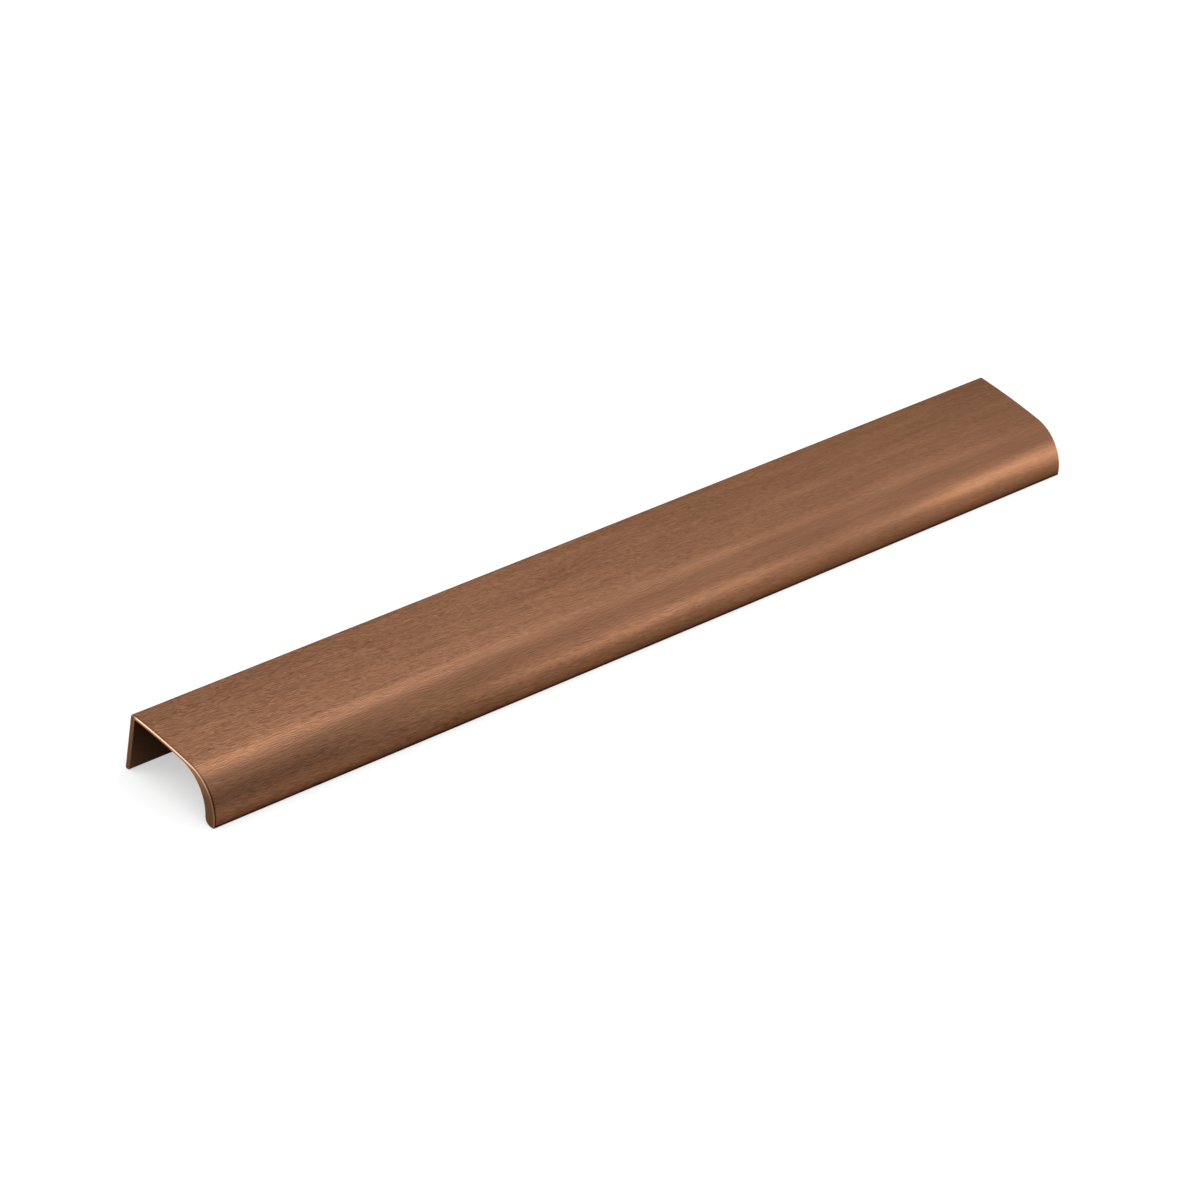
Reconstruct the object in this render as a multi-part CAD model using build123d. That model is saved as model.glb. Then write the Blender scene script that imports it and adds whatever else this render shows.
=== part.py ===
"""Lip pull handle: one length of extruded aluminium profile, cut square and drilled along its flange.

The profile hooks over the top edge of a door or drawer front. Its flange lies flat on the back of the
panel, where screws hold it. Its top plate runs forward over the panel's edge with a slight crown and a
slight fall, and bends down into a lip that thickens towards its foot. Fingers pull on the inside of that
lip.

Frame: X along the handle, Y from the lip (-Y) to the flange (+Y), Z up. The origin is the middle of the
footprint, on the level that the feet of the flange and the lip stand on.
"""

from build123d import *
from math import hypot, radians, sqrt, tan
import os

# Overall sizes, in millimetres
handle_length = 350.0
handle_depth = 36.2  # back of the flange to the front of the lip
handle_height = 17.4  # feet to the back edge of the top plate

# Walls
top_wall = 1.0
flange_wall = 1.6
lip_wall = 3.7  # lip where it has turned upright, its thickest place

# Curves of the profile
crown_radius = 220.0  # top plate, seen from the end
crown_offset = 14.0  # from the back of the flange on to where the crown would be level, behind the handle
lip_drop = 0.6  # height above the feet where the lip has turned upright, inside and outside
toe_radius = 2.6  # finger side of the lip's foot
lip_edge_radius = 0.4  # outer side of the lip's foot
flange_toe_radius = 0.6  # both sides of the flange's foot
back_edge_radius = 0.6  # outer corner between top plate and flange
root_radius = 0.4  # inner corner between top plate and flange
end_break = 0.25  # chamfer that takes the burr off both sawn ends

# Screw holes, countersunk from the back of the flange
screw_count = 3
screw_inset = 15.0  # first and last hole centre from the ends
screw_height = 7.5  # hole centres above the flange's foot
screw_hole_diameter = 4.0
screw_head_diameter = 6.2
screw_head_angle = 90.0

back = handle_depth / 2
front = -handle_depth / 2
flange_inside = back - flange_wall
lip_inside = front + lip_wall

# The crown runs through the back edge of the top plate, and the underside keeps the plate's thickness
crown_centre = (back + crown_offset, handle_height - sqrt(crown_radius**2 - crown_offset**2))
underside_radius = crown_radius - top_wall


def bend_radius(radius, front_y):
    """Radius of the bend that runs on smoothly from an arc about the crown's centre and ends upright."""
    reach = crown_centre[0] - front_y
    level = lip_drop - crown_centre[1]
    return (radius**2 - reach**2 - level**2) / (2 * (radius - reach))


nose_radius = bend_radius(crown_radius, front)  # outside of the lip
finger_radius = bend_radius(underside_radius, lip_inside)  # inside of the lip


def hook_area(radius, back_y, front_y, low_z):
    """Area under a crown arc of the given radius that bends down to an upright front, open to low_z.

    Drawn with Y across and Z up.
    """
    centre_y, centre_z = crown_centre
    bend = bend_radius(radius, front_y)
    bend_y = front_y + bend
    share = radius / hypot(bend_y - centre_y, lip_drop - centre_z)
    back_top = (back_y, centre_z + sqrt(radius**2 - (back_y - centre_y) ** 2))
    bend_start = (centre_y + share * (bend_y - centre_y), centre_z + share * (lip_drop - centre_z))
    with BuildSketch() as area:
        with BuildLine():
            Line((back_y, low_z), back_top)
            RadiusArc(back_top, bend_start, -radius)
            RadiusArc(bend_start, (front_y, lip_drop), -bend)
            Line((front_y, lip_drop), (front_y, low_z))
            Line((front_y, low_z), (back_y, low_z))
        make_face()
    return area.sketch, back_top


def rounded(sketch, corner, radius):
    """The sketch with the corner nearest to a point rounded."""
    return fillet(sketch.vertices().sort_by_distance(corner)[0], radius)


def toe_waste():
    """Corner that comes off the finger side of the lip's foot and leaves a round tangent to the bend."""
    sunk = max(0, toe_radius - lip_drop)
    span = finger_radius + toe_radius
    centre_y = lip_inside + finger_radius - sqrt(span**2 - sunk**2)
    touch_z = toe_radius - toe_radius * sunk / span
    corner = Pos(centre_y, 0) * Rectangle(2 * toe_radius, touch_z, align=(Align.MIN, Align.MIN))
    return corner - Pos(centre_y, toe_radius) * Circle(toe_radius)


def profile():
    """Section of the extrusion: outer hook less the channel, with its corners rounded."""
    outer, back_top = hook_area(crown_radius, back, front, 0)
    outer = rounded(outer, back_top, back_edge_radius)
    channel, root = hook_area(underside_radius, flange_inside, lip_inside, -handle_height)
    channel = rounded(channel, root, root_radius)
    section = outer - channel - toe_waste()
    section = rounded(section, (front, 0), lip_edge_radius)
    section = rounded(section, (flange_inside, 0), flange_toe_radius)
    return rounded(section, (back, 0), flange_toe_radius)


def screw_hole(x):
    """Tool for one countersunk hole: its cone opens at the back face of the flange."""
    at_back_face = Plane(origin=(x, back, screw_height), x_dir=(1, 0, 0), z_dir=(0, 1, 0))
    hole_radius, head_radius = screw_hole_diameter / 2, screw_head_diameter / 2
    sink_depth = (head_radius - hole_radius) / tan(radians(screw_head_angle / 2))
    below_face = (Align.CENTER, Align.CENTER, Align.MAX)
    cone = Cone(hole_radius, head_radius, sink_depth, align=below_face)
    shank = Cylinder(hole_radius, 2 * flange_wall, align=below_face)
    return at_back_face * (cone + shank)


def lip_pull():
    """The whole handle: extruded profile, ends deburred, flange drilled."""
    bar = extrude(Plane.YZ * profile(), handle_length / 2, both=True)
    sawn_ends = bar.faces().filter_by(Axis.X)
    bar = chamfer(sawn_ends.edges(), end_break)
    first_x = screw_inset - handle_length / 2
    spacing = (handle_length - 2 * screw_inset) / (screw_count - 1)
    for number in range(screw_count):
        bar -= screw_hole(first_x + number * spacing)
    return bar


if __name__ == "__main__":
    os.makedirs("parts", exist_ok=True)
    handle = lip_pull()
    export_step(handle, "parts/lip_pull.step")
    print("lip_pull", handle.bounding_box().size, round(handle.volume))
    print("nose radius", round(nose_radius, 2), "finger radius", round(finger_radius, 2))
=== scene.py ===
import math

import bmesh
import bpy
from mathutils import Matrix, Vector


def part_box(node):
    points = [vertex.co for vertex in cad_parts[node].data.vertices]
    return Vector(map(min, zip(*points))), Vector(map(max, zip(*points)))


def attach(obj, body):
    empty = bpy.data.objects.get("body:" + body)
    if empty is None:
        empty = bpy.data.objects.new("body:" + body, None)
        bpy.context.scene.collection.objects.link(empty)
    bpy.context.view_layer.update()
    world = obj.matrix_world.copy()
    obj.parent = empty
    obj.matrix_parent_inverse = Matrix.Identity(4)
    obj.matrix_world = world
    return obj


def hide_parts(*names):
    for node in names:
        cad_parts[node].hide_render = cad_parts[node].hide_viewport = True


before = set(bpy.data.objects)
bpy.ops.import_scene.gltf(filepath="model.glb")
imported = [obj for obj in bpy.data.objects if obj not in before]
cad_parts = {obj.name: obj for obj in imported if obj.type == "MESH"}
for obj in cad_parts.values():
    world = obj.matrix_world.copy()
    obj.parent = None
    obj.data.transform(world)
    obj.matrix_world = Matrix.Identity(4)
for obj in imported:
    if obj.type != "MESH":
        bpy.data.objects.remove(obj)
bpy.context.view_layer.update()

mm = 0.001
mergeGap = 1e-7  # metres
endFacing = 0.98  # a face this square to the length is a sawn end
surfaceMarks = ("sawnEnd", "rimHighlight", "inner")
low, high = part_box("lip_pull")
print("frame loaded, handle", [round(v / mm, 2) for v in high - low], "mm")


# sRGB hex to the linear colour that shaders take
def hexColour(text):
    parts = [int(text[i:i + 2], 16) / 255 for i in (1, 3, 5)]
    return (*(c / 12.92 if c <= 0.04045 else ((c + 0.055) / 1.055) ** 2.4 for c in parts), 1.0)


# adds one node: inputs are values or sockets, by name or number, and settings are its properties
def addNode(tree, kind, inputs=None, **settings):
    node = tree.nodes.new("ShaderNode" + kind)
    for name, value in settings.items():
        setattr(node, name, value)
    for key, value in (inputs or {}).items():
        if isinstance(value, bpy.types.NodeSocket):
            tree.links.new(value, node.inputs[key])
        else:
            node.inputs[key].default_value = value
    return node


# gives a ramp its stops, from pairs of place and colour
def setStops(ramp, stops):
    for i, (place, colour) in enumerate(stops):
        stop = ramp.elements[i] if i < 2 else ramp.elements.new(place)
        stop.position, stop.color = place, colour


def newPiece(name, bm):
    mesh = bpy.data.meshes.new(name)
    bm.to_mesh(mesh)
    bm.free()
    piece = bpy.data.objects.new(name, mesh)
    bpy.context.collection.objects.link(piece)
    return piece


# direction from the handle: azimuth 0 is the lip's side, 90 the far end, -90 the near end
def direction(azimuth, elevation):
    a, e = math.radians(azimuth), math.radians(elevation)
    return Vector((math.sin(a) * math.cos(e), -math.cos(a) * math.cos(e), math.sin(e)))


# the handle: one extruded profile, sizes in mm, length and depth come from the frame
pull = {
    "height": 17.4,
    "topWall": 1.0,
    "flangeWall": 1.6,
    "lipWall": 3.7,
    "crownRadius": 220.0,
    "crownOffset": 14.0,  # the crown would be level this far behind the flange
    "lipDrop": 0.6,
    "toeRadius": 2.6,
    "lipEdge": 0.4,
    "flangeToe": 0.6,
    "backEdge": 0.6,
    "root": 0.4,
    "endBreak": 0.25,
    "channelMiddle": (2.0, 5.0),  # a point in the channel that all its walls face, across and up
    "screwCount": 3,
    "screwInset": 15.0,
    "screwHeight": 7.5,
    "screwHole": 4.0,
    "screwHead": 6.2,
    "screwFacets": 48,
    "crownStep": 0.4,  # degrees a facet, on the crown
    "bendStep": 2.0,  # on the bends of the lip
    "toeStep": 5.0,  # on the lip's toe
    "cornerStep": 10.0,  # on the small corners
    "sharpAngle": 32.0,
}


# pen that draws the section with bmesh operators, in mm, Y across and Z up
class SectionPen:
    def __init__(self, bm, x, y, z):
        self.bm, self.x = bm, x
        self.first = self.tip = bm.verts.new((x, y * mm, z * mm))

    def lineTo(self, y, z):
        made = bmesh.ops.extrude_vert_indiv(self.bm, verts=[self.tip])
        self.tip = made["verts"][0]
        self.tip.co = (self.x, y * mm, z * mm)

    def arcTo(self, centre, y, z, turn, step):
        cy, cz = centre
        start = math.atan2(self.tip.co.z / mm - cz, self.tip.co.y / mm - cy)
        swept = (math.atan2(z - cz, y - cy) - start) % (2 * math.pi)
        swept -= 2 * math.pi if turn < 0 else 0
        made = bmesh.ops.spin(
            self.bm, geom=[self.tip], cent=(self.x, cy * mm, cz * mm), axis=(1, 0, 0), angle=swept,
            steps=max(3, round(abs(math.degrees(swept)) / step)))
        self.tip = [v for v in made["geom_last"] if isinstance(v, bmesh.types.BMVert)][0]

    def close(self):
        bmesh.ops.contextual_create(self.bm, geom=[self.tip, self.first])
        bmesh.ops.contextual_create(self.bm, geom=self.bm.edges[:])
        bmesh.ops.remove_doubles(self.bm, verts=self.bm.verts[:], dist=mergeGap)


def drawSection(bm):
    p = pull
    back, front = high.y / mm, low.y / mm
    inside, lipInside = back - p["flangeWall"], front + p["lipWall"]
    drop, toe = p["lipDrop"], p["toeRadius"]
    foot, lipEdge = p["flangeToe"], p["lipEdge"]
    edge, root = p["backEdge"], p["root"]
    crownStep, bendStep, cornerStep = p["crownStep"], p["bendStep"], p["cornerStep"]

    # crown through the back top edge, lip bends tangent to the crown and to its underside
    crown, under = p["crownRadius"], p["crownRadius"] - p["topWall"]
    cy, cz = back + p["crownOffset"], p["height"] - math.sqrt(crown ** 2 - p["crownOffset"] ** 2)

    def bendRadius(radius, frontY):
        reach = cy - frontY
        return (radius ** 2 - reach ** 2 - (drop - cz) ** 2) / (2 * (radius - reach))

    def onward(fromPoint, toPoint, distance):
        scale = distance / math.hypot(toPoint[0] - fromPoint[0], toPoint[1] - fromPoint[1])
        return tuple(a + scale * (b - a) for a, b in zip(fromPoint, toPoint))

    nose, finger = bendRadius(crown, front), bendRadius(under, lipInside)
    edgeAt = (back - edge, cz + math.sqrt((crown - edge) ** 2 - (cy - back + edge) ** 2))
    rootAt = (inside - root, cz + math.sqrt((under - root) ** 2 - (cy - inside + root) ** 2))
    noseAt, fingerAt = (front + nose, drop), (lipInside + finger, drop)
    sunk = max(0.0, toe - drop)
    toeAt = (fingerAt[0] - math.sqrt((finger + toe) ** 2 - sunk ** 2), toe)

    pen = SectionPen(bm, low.x, back, foot)
    pen.lineTo(back, edgeAt[1])
    pen.arcTo(edgeAt, *onward((cy, cz), edgeAt, crown), 1, cornerStep)
    pen.arcTo((cy, cz), *onward((cy, cz), noseAt, crown), 1, crownStep)
    pen.arcTo(noseAt, front, drop, 1, bendStep)
    pen.lineTo(front, lipEdge)
    pen.arcTo((front + lipEdge, lipEdge), front + lipEdge, 0, 1, cornerStep)
    pen.lineTo(toeAt[0], 0)
    pen.arcTo(toeAt, *onward(fingerAt, toeAt, finger), 1, p["toeStep"])
    pen.arcTo(fingerAt, *onward((cy, cz), fingerAt, under), -1, bendStep)
    pen.arcTo((cy, cz), *onward((cy, cz), rootAt, under), -1, crownStep)
    pen.arcTo(rootAt, inside, rootAt[1], -1, cornerStep)
    pen.lineTo(inside, foot)
    pen.arcTo((inside + foot, foot), inside + foot, 0, 1, cornerStep)
    pen.lineTo(back - foot, 0)
    pen.arcTo((back - foot, foot), back, foot, 1, cornerStep)
    pen.close()


# cutter for one countersunk screw hole, spun about the hole's axis
def holeCutter(x):
    bm = bmesh.new()
    back, up = high.y / mm, pull["screwHeight"] * mm
    hole, head = pull["screwHole"] / 2, pull["screwHead"] / 2
    through, over = -3 * pull["flangeWall"], 1.0  # clear of the flange on both sides
    outline = [(0, through), (hole, through), (hole, hole - head), (head + over, over), (0, over)]
    verts = [bm.verts.new((x + r * mm, (back + y) * mm, up)) for r, y in outline]
    for a, b in zip(verts, verts[1:]):
        bm.edges.new((a, b))
    bmesh.ops.spin(
        bm, geom=bm.verts[:] + bm.edges[:], cent=(x, back * mm, up), axis=(0, 1, 0), angle=2 * math.pi,
        steps=pull["screwFacets"], use_merge=True)
    bmesh.ops.remove_doubles(bm, verts=bm.verts[:], dist=mergeGap)
    bmesh.ops.recalc_face_normals(bm, faces=bm.faces[:])
    return newPiece("holeCutter", bm)


def cutHoles(piece):
    inset = pull["screwInset"] * mm
    span = high.x - low.x - 2 * inset
    for i in range(pull["screwCount"]):
        cutter = holeCutter(low.x + inset + span * i / (pull["screwCount"] - 1))
        cut = piece.modifiers.new("hole", "BOOLEAN")
        cut.operation, cut.solver, cut.object = "DIFFERENCE", "EXACT", cutter
        bpy.context.view_layer.update()
        evaluated = piece.evaluated_get(bpy.context.evaluated_depsgraph_get())
        cutMesh = bpy.data.meshes.new_from_object(evaluated)
        piece.modifiers.clear()
        old, piece.data = piece.data, cutMesh
        bpy.data.meshes.remove(old)
        bpy.data.objects.remove(cutter)
    piece.data.name = piece.name


# U runs round the section and V along the handle, so the brushing's tangent is square to its streaks;
# three face marks: the two sawn ends, with painted shade, lighter on the plate's end; their outer rims, with
# a painted highlight; and the channel inside, with painted shade
def markSurface(piece):
    mesh = piece.data
    mesh.uv_layers.new(name="brushing")
    for name in surfaceMarks:
        mesh.attributes.new(name, "FLOAT", "FACE")
    uv = mesh.uv_layers["brushing"].data
    marks = {name: mesh.attributes[name].data for name in surfaceMarks}
    rim = high.x - pull["endBreak"] * mm
    flangeInside = high.y - pull["flangeWall"] * mm
    channelMiddle = Vector((0, *pull["channelMiddle"])) * mm
    for face in mesh.polygons:
        n = face.normal
        sawn = abs(n.x) > endFacing
        around = Vector((0, 1, 0)) if sawn else Vector((1, 0, 0)).cross(n)
        along = Vector((0, 0, 1)) if sawn else Vector((1, 0, 0))
        for i in face.loop_indices:
            co = mesh.vertices[mesh.loops[i].vertex_index].co
            uv[i].uv = (co.dot(around) / mm, co.dot(along) / mm)
        atEnd = abs(face.center.x) > rim
        outward = face.center - channelMiddle
        outward.x = 0
        outside = outward.dot(n) > 0
        # the ends' outer rims, which get a painted highlight
        litRim = atEnd and not sawn and outside and face.center.y < flangeInside
        marks["sawnEnd"][face.index].value = float(atEnd)
        marks["rimHighlight"][face.index].value = float(litRim)
        marks["inner"][face.index].value = float(not atEnd and not outside)


def makePull():
    bm = bmesh.new()
    drawSection(bm)
    made = bmesh.ops.extrude_face_region(bm, geom=bm.faces[:])
    pushed = [v for v in made["geom"] if isinstance(v, bmesh.types.BMVert)]
    bmesh.ops.translate(bm, verts=pushed, vec=(high.x - low.x, 0, 0))
    bmesh.ops.recalc_face_normals(bm, faces=bm.faces[:])

    # burr taken off both sawn ends
    ends = [f for f in bm.faces if abs(f.normal.x) > endFacing]
    rims = list({e for f in ends for e in f.edges})
    bmesh.ops.bevel(
        bm, geom=rims, offset=pull["endBreak"] * mm, affect="EDGES", segments=1, profile=0.5, material=-1)
    piece = newPiece("lipPull", bm)
    cutHoles(piece)
    markSurface(piece)
    for face in piece.data.polygons:
        face.use_smooth = True
    piece.data.set_sharp_from_angle(angle=math.radians(pull["sharpAngle"]))
    piece.modifiers.new("evenShading", "WEIGHTED_NORMAL").keep_sharp = True
    print("lip pull modelled,", len(piece.data.polygons), "faces")
    return piece


# aluminium extrusion, brushed along its length and toned a brown antique copper: no mirror image, but soft
# bright bands along the bends, broken up by short fine brush marks painted with a lit and a shaded side;
# painted shade deepens the tone along the lip's foot, on the sawn ends and inside the channel, and the
# plate's end and the ends' rims carry a painted highlight
copper = {
    "dark": "#5c4030",  # dark end of the brushing's tone, also the painted shaded side of the fine marks
    "light": "#ae7d5f",  # light end of the brushing's tone, also the painted lit side of the fine marks
    "nickColour": "#4a3226",
    # painted shade inside the channel
    "innerColour": "#6a4c39",
    "paintedEndColours": ("#70503c", "#a3734f"),  # sawn ends: flange and lip, plate; painted shade, lighter on the plate as a painted highlight
    "rimHighlightColours": ("#8f6249", "#cba387"),  # painted highlight on the outer rims of the ends: lip, plate
    "shadeLineColour": "#2e1e16",  # painted shade in a line beside those rims
    "edgeTint": "#c4b8ac",  # keeps the tone warm where it is seen at a flat angle
    "anisotropic": 0.72,
    "roughness": (0.27, 0.34),  # from crest to hollow
    "relief": 0.03,  # depth of the bump, mm
    "reliefStrength": 0.5,
    # length, width on top and width on the lip of each pattern, in mm: real brush lines are about 0.1 wide
    # and would not show, so they are drawn as wide as a pixel, and wider on top, which is seen at a slant
    "fine": (3.4, 0.25, 0.15),
    "hair": (16.0, 0.4, 0.25),
    "lane": (38.0, 2.4, 4.5),
    "mottle": (80.0, 16.0, 16.0),
    "nick": (9.0, 0.4, 0.3),
    "sway": (9.0, 4.0, 4.0),
    # where in the noise a pattern starts, so that no two fall together
    "starts": {
        "fine": (0, 0, 0), "hair": (7, 0, 0), "lane": (14, 3, 5), "mottle": (21, 6, 10),
        "nick": (31, 17, 23)},
    "detail": 1.0,
    "swayShift": 0.7,  # how far marks wander sideways, mm
    "slant": 2.0,  # degrees that the fine marks lean forward along the handle
    "litSideOffset": 0.5,  # a fine mark's painted highlight lies this share of its width from its painted shade
    "tones": {"fine": 1.35, "hair": 0.18, "lane": 0.34, "mottle": 0.25},  # share of each pattern in the tone
    "fade": (-130.0, 110.0, 0.45),  # fine marks thin out between these places, mm, to this share
    "nickSpan": (0.79, 0.86),  # noise at which a nick begins, and at which it is full
    "footReach": 14.0,  # mm
    # painted shade at each share of that reach, up from the lip's front edge
    "footShadeTints": (
        (0.036, "#1c120d"), (0.071, "#b4a69a"), (0.136, "#ccc0b6"), (0.32, "#e4ddd4"), (0.55, "#fffcf8"),
        (1.0, "#ffffff")),
    "lineSpan": (0.42, 0.7),  # the line is full as far as this from the rim, and gone at this, mm
    "lineDepth": (0.9, 0.4),  # beside the lip's rim, the plate's rim
    "plateFrom": (8.0, 14.0),  # heights between which the lip's end goes over into the plate's, mm
}


def brushedCopper():
    material = bpy.data.materials.new("brushedAntiqueCopper")
    material.use_nodes = True
    tree = material.node_tree
    tree.nodes.clear()
    place = addNode(tree, "TexCoord").outputs["Object"]
    apart = addNode(tree, "SeparateXYZ", {0: place}).outputs
    detail, tones = copper["detail"], copper["tones"]

    def sizeScale(name):
        return [1 / (size * mm) for size in copper[name]]

    # marks wander a little, as a belt leaves them
    swayAt = addNode(tree, "Mapping", {"Vector": place, "Scale": sizeScale("sway")})
    sway = addNode(tree, "TexNoise", {"Vector": swayAt.outputs[0], "Scale": 1.0, "Detail": detail})
    centred = addNode(
        tree, "VectorMath", {0: sway.outputs["Color"], 1: (0.5, 0.5, 0.5)}, operation="SUBTRACT")
    shift = copper["swayShift"] * mm
    swayed = addNode(
        tree, "VectorMath", {0: centred.outputs[0], 1: (0, shift, shift), 2: place}, operation="MULTIPLY_ADD")
    slant = math.radians(copper["slant"])
    leaning = addNode(tree, "Mapping", {"Vector": swayed.outputs[0], "Rotation": (0, -slant, slant)})

    def pattern(name, source, aside=0.0):
        x, y, z = copper["starts"][name]
        at = addNode(tree, "Mapping", {
            "Vector": source.outputs[0], "Location": (x, y + aside, z + aside), "Scale": sizeScale(name)})
        noise = addNode(tree, "TexNoise", {"Vector": at.outputs[0], "Scale": 1.0, "Detail": detail})
        return noise.outputs["Fac"]

    # a fine mark gets a painted highlight on one side and painted shade on the other, as light falls on a
    # scratch's edges; the same marks also shape the bump
    bright = pattern("fine", leaning)
    shaded = pattern("fine", leaning, copper["litSideOffset"])
    fine = addNode(tree, "Math", {0: bright, 1: shaded}, operation="SUBTRACT").outputs[0]
    nearX, farX, thinned = copper["fade"]
    fineTone = addNode(tree, "MapRange", {
        "Value": apart["X"], "From Min": nearX * mm, "From Max": farX * mm, "To Min": tones["fine"],
        "To Max": thinned * tones["fine"]}).outputs[0]

    # one tone from all the brush patterns
    broad = ("hair", "lane", "mottle")
    tone = 0.5 - 0.5 * sum(tones[name] for name in broad)
    for name in broad:
        added = {0: pattern(name, swayed), 1: tones[name], 2: tone}
        tone = addNode(tree, "Math", added, operation="MULTIPLY_ADD").outputs[0]
    crest = addNode(
        tree, "Math", {0: fine, 1: fineTone, 2: tone}, operation="MULTIPLY_ADD", use_clamp=True).outputs[0]
    brushed = addNode(tree, "Mix", {
        0: crest, 6: hexColour(copper["dark"]), 7: hexColour(copper["light"])}, data_type="RGBA").outputs[2]

    # the plate's end, above the lip and in front of the flange, where the end and rim colours are lighter: a
    # painted highlight
    upFrom, upTo = copper["plateFrom"]
    up = addNode(tree, "MapRange", {
        "Value": apart["Z"], "From Min": upFrom * mm, "From Max": upTo * mm}).outputs[0]
    inFront = addNode(
        tree, "Math", {0: apart["Y"], 1: high.y - pull["flangeWall"] * mm}, operation="LESS_THAN").outputs[0]
    plate = addNode(tree, "Math", {0: up, 1: inFront}, operation="MULTIPLY").outputs[0]
    # painted shade on the flange's and lip's sawn ends, lighter on the plate's end as a painted highlight,
    # and a painted highlight on the ends' outer rims
    paintedEndTone, rimHighlightTone = (addNode(tree, "Mix", {
        0: plate, 6: hexColour(copper[name][0]), 7: hexColour(copper[name][1])}, data_type="RGBA").outputs[2]
        for name in ("paintedEndColours", "rimHighlightColours"))

    # painted shade: a thin dark line beside the near end's rims, on the outer side
    lineEnd = low.x + pull["endBreak"] * mm
    lineFull, lineGone = copper["lineSpan"]
    onLine = addNode(tree, "MapRange", {
        "Value": apart["X"], "From Min": lineEnd + lineGone * mm,
        "From Max": lineEnd + lineFull * mm}).outputs[0]
    lipDepth, plateDepth = copper["lineDepth"]
    lineDepth = addNode(tree, "MapRange", {"Value": up, "To Min": lipDepth, "To Max": plateDepth}).outputs[0]
    shadeLine = addNode(tree, "Math", {0: onLine, 1: lineDepth}, operation="MULTIPLY").outputs[0]

    # painted shade along the lip's foot, darkest in a thin line at its front edge, by the distance from that
    # edge
    acrossOnly = addNode(tree, "CombineXYZ", {1: apart["Y"], 2: apart["Z"]})
    fromFoot = addNode(
        tree, "VectorMath", {0: acrossOnly.outputs[0], 1: (0, low.y, 0)},
        operation="DISTANCE").outputs["Value"]
    reach = addNode(
        tree, "Math", {0: fromFoot, 1: copper["footReach"] * mm}, operation="DIVIDE").outputs[0]
    foot = addNode(tree, "ValToRGB", {0: reach})
    setStops(foot.color_ramp, [(at, hexColour(tint)) for at, tint in copper["footShadeTints"]])
    brushed = addNode(tree, "Mix", {
        0: 1.0, 6: brushed, 7: foot.outputs[0]}, data_type="RGBA", blend_type="MULTIPLY").outputs[2]

    nickFrom, nickFull = copper["nickSpan"]
    nick = addNode(tree, "MapRange", {
        "Value": pattern("nick", swayed), "From Min": nickFrom, "From Max": nickFull}).outputs[0]
    marked = {name: addNode(tree, "Attribute", attribute_name=name).outputs["Fac"] for name in surfaceMarks}
    colour = brushed
    # mix in small dark nicks, painted shade in the line beside the near end's rims, in the channel and on the
    # sawn ends (lighter on the plate's), and a painted highlight on the rims
    for mask, tint in (
            (nick, hexColour(copper["nickColour"])), (shadeLine, hexColour(copper["shadeLineColour"])),
            (marked["inner"], hexColour(copper["innerColour"])), (marked["sawnEnd"], paintedEndTone),
            (marked["rimHighlight"], rimHighlightTone)):
        colour = addNode(tree, "Mix", {0: mask, 6: colour, 7: tint}, data_type="RGBA").outputs[2]

    smooth, dull = copper["roughness"]
    gloss = addNode(tree, "MapRange", {"Value": crest, "To Min": dull, "To Max": smooth}).outputs[0]
    height = addNode(tree, "Math", {0: crest, 1: nick}, operation="SUBTRACT").outputs[0]
    bump = addNode(tree, "Bump", {
        "Strength": copper["reliefStrength"], "Distance": copper["relief"] * mm, "Height": height})
    tangent = addNode(tree, "Tangent", direction_type="UV_MAP", uv_map="brushing")
    metal = addNode(tree, "BsdfPrincipled", {
        "Base Color": colour, "Metallic": 1.0, "Roughness": gloss,
        "Specular Tint": hexColour(copper["edgeTint"]), "Anisotropic": copper["anisotropic"],
        "Tangent": tangent.outputs[0], "Normal": bump.outputs[0]})
    addNode(tree, "OutputMaterial", {"Surface": metal.outputs[0]})
    return material


handle = makePull()
handle.data.materials.append(brushedCopper())
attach(handle, "root")
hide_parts("lip_pull")
print("brushed copper on")

# white table that glows for the camera and in reflections, shaded where the handle stands close
stageLook = {
    "floorSize": 6.0,  # metres
    "floorColour": "#b3b3b3",
    "floorGlow": 0.64,  # as the camera sees it, on top of its lit colour
    "mirroredGlow": 0.52,  # as the metal sees it
    "shadeReach": 40.0,  # mm
    "shadeSamples": 4,
    "paleShade": 0.25,  # share of that shading that the camera sees
    "roomColour": "#ffffff",
    "roomGlow": 0.25,
    # added glow of the room, from its near side, -1, to its far side, 1: dim where the metal mirrors it to
    # the camera, so that the lamps draw the bands
    "wallGlow": ((-1.0, 1.0), (0.0, 0.85), (0.3, 0.0), (0.88, 0.0), (1.0, 1.0)),
    "wallRise": (0.3, 1.4),  # that glow grows from the horizon to overhead
}


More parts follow.
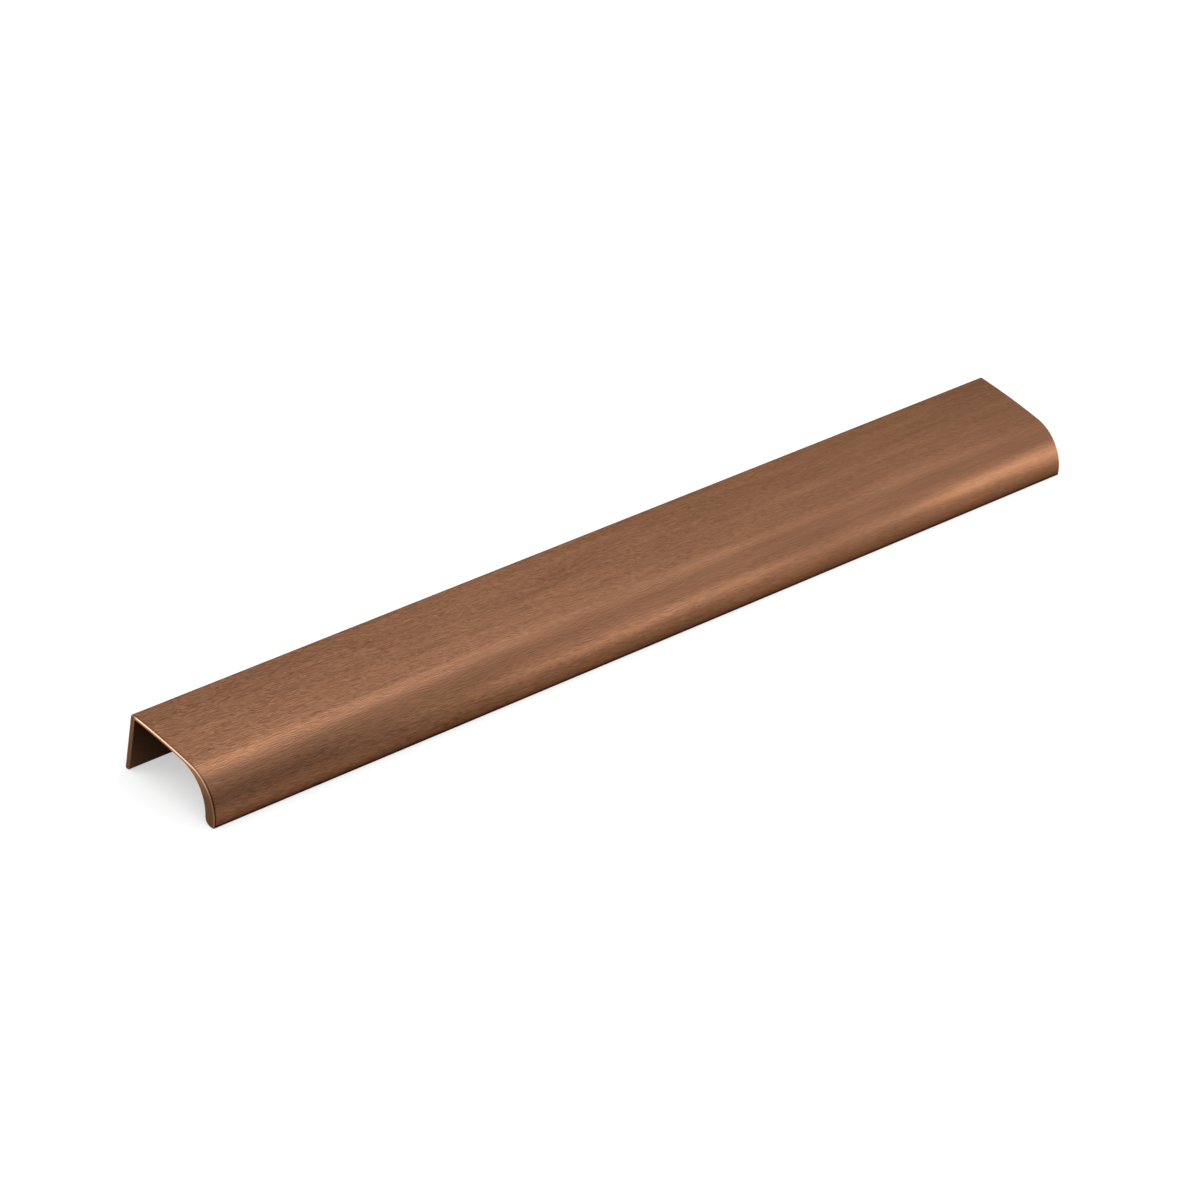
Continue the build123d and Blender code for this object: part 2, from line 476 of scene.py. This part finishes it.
def makeFloor():
    bm = bmesh.new()
    bmesh.ops.create_grid(bm, x_segments=1, y_segments=1, size=stageLook["floorSize"] / 2)
    floor = newPiece("floor", bm)
    material = bpy.data.materials.new("whiteTable")
    material.use_nodes = True
    material.cycles.emission_sampling = "NONE"
    tree = material.node_tree
    tree.nodes.clear()
    paint = addNode(tree, "BsdfDiffuse", {"Color": hexColour(stageLook["floorColour"])})
    ray = addNode(tree, "LightPath").outputs
    openness = addNode(
        tree, "AmbientOcclusion", {"Distance": stageLook["shadeReach"] * mm},
        samples=stageLook["shadeSamples"]).outputs["AO"]
    full, pale = stageLook["floorGlow"], stageLook["paleShade"] * stageLook["floorGlow"]
    toCamera = addNode(
        tree, "Math", {0: openness, 1: pale, 2: full - pale}, operation="MULTIPLY_ADD").outputs[0]
    mirrored = addNode(
        tree, "Math", {0: openness, 1: stageLook["mirroredGlow"]}, operation="MULTIPLY").outputs[0]
    gloss = addNode(
        tree, "Math", {0: ray["Is Glossy Ray"], 1: ray["Is Transmission Ray"]}, operation="ADD",
        use_clamp=True)
    gloss = addNode(tree, "Math", {0: gloss.outputs[0], 1: mirrored}, operation="MULTIPLY").outputs[0]
    strength = addNode(
        tree, "Math", {0: ray["Is Camera Ray"], 1: toCamera, 2: gloss}, operation="MULTIPLY_ADD").outputs[0]
    glow = addNode(tree, "Emission", {"Strength": strength})
    both = addNode(tree, "AddShader", {0: paint.outputs[0], 1: glow.outputs[0]})
    addNode(tree, "OutputMaterial", {"Surface": both.outputs[0]})
    floor.data.materials.append(material)


def makeRoom():
    world = bpy.data.worlds.new("studio")
    bpy.context.scene.world = world
    world.use_nodes = True
    tree = world.node_tree
    tree.nodes.clear()
    towards = addNode(tree, "TexCoord").outputs["Generated"]
    apart = addNode(tree, "SeparateXYZ", {0: towards}).outputs
    side = addNode(tree, "MapRange", {"Value": apart["X"], "From Min": -1.0, "From Max": 1.0}).outputs[0]
    wall = addNode(tree, "ValToRGB", {0: side})
    setStops(wall.color_ramp, [((at + 1) / 2, (glow, glow, glow, 1.0)) for at, glow in stageLook["wallGlow"]])
    horizon, overhead = stageLook["wallRise"]
    rise = addNode(tree, "MapRange", {"Value": apart["Z"], "To Min": horizon, "To Max": overhead}).outputs[0]
    strength = addNode(
        tree, "Math", {0: wall.outputs[0], 1: rise, 2: stageLook["roomGlow"]}, operation="MULTIPLY_ADD")
    room = addNode(tree, "Background", {
        "Color": hexColour(stageLook["roomColour"]), "Strength": strength.outputs[0]})
    addNode(tree, "OutputWorld", {"Surface": room.outputs[0]})


makeFloor()
makeRoom()
print("floor and room made")

# round soft lamps: direction from a point on the handle's axis, distance, size and that point in metres, and
# how bright the lamp's face is
lamps = {
    "overNear": {
        "azimuth": 93.8, "elevation": 57.5, "distance": 0.6, "size": 0.27, "aimX": -0.173, "glow": 1.59},
    "overMiddle": {
        "azimuth": 70.4, "elevation": 45.9, "distance": 0.64, "size": 0.7, "aimX": -0.063, "glow": 0.71},
    "frontNear": {
        "azimuth": 60.9, "elevation": 9.2, "distance": 0.63, "size": 0.15, "aimX": -0.3, "glow": 2.06},
    "frontFar": {
        "azimuth": 66.2, "elevation": 7.9, "distance": 0.6, "size": 0.15, "aimX": -0.132, "glow": 3.04},
    "backFill": {
        "azimuth": 113.9, "elevation": 36.9, "distance": 1.04, "size": 0.7, "aimX": -0.298, "glow": 0.68},
    "rimKicker": {
        "azimuth": 222.0, "elevation": 41.0, "distance": 0.8, "size": 0.35, "aimX": -0.175, "glow": 2.5},
}


def makeLamp(name, lamp):
    data = bpy.data.lights.new(name, "AREA")
    data.shape, data.size = "DISK", lamp["size"]
    # power is pi times glow times area
    data.energy = math.pi * lamp["glow"] * math.pi * (lamp["size"] / 2) ** 2
    holder = bpy.data.objects.new(name, data)
    bpy.context.collection.objects.link(holder)
    towards = direction(lamp["azimuth"], lamp["elevation"])
    holder.location = Vector((lamp["aimX"], 0, 0)) + towards * lamp["distance"]
    holder.rotation_mode = "QUATERNION"
    holder.rotation_quaternion = towards.to_track_quat("Z", "Y")
    holder.visible_camera = False


for name, lamp in lamps.items():
    makeLamp(name, lamp)

# camera at the photograph's viewing angle, aimed near the middle of the handle's back top edge
shot = {
    "azimuth": -49.513,
    "elevation": 30.701,
    "roll": 8.647,
    "lens": 169.667,
    "sensor": 36.0,
    "distance": 1.64219,  # metres, as are the next two
    "slideRight": 0.00428,
    "slideUp": -0.01931,
    "clip": (0.05, 50.0),
}


def makeCamera():
    data = bpy.data.cameras.new("photoView")
    data.sensor_width, data.lens = shot["sensor"], shot["lens"]
    data.clip_start, data.clip_end = shot["clip"]
    camera = bpy.data.objects.new("photoView", data)
    bpy.context.collection.objects.link(camera)
    a, r = math.radians(shot["azimuth"]), math.radians(shot["roll"])
    back = direction(shot["azimuth"], shot["elevation"])
    right = Vector((math.cos(a), math.sin(a), 0))
    up = back.cross(right)
    rolledRight = math.cos(r) * right + math.sin(r) * up
    rolledUp = math.cos(r) * up - math.sin(r) * right
    aim = Vector((0, high.y, pull["height"] * mm))
    place = aim + shot["distance"] * back + shot["slideRight"] * rolledRight + shot["slideUp"] * rolledUp
    turn = Matrix((rolledRight, rolledUp, back)).transposed()
    camera.matrix_world = Matrix.Translation(place) @ turn.to_4x4()
    bpy.context.scene.camera = camera


makeCamera()
bpy.context.scene.view_settings.view_transform = "Standard"
print("stage set,", len(lamps), "lamps")
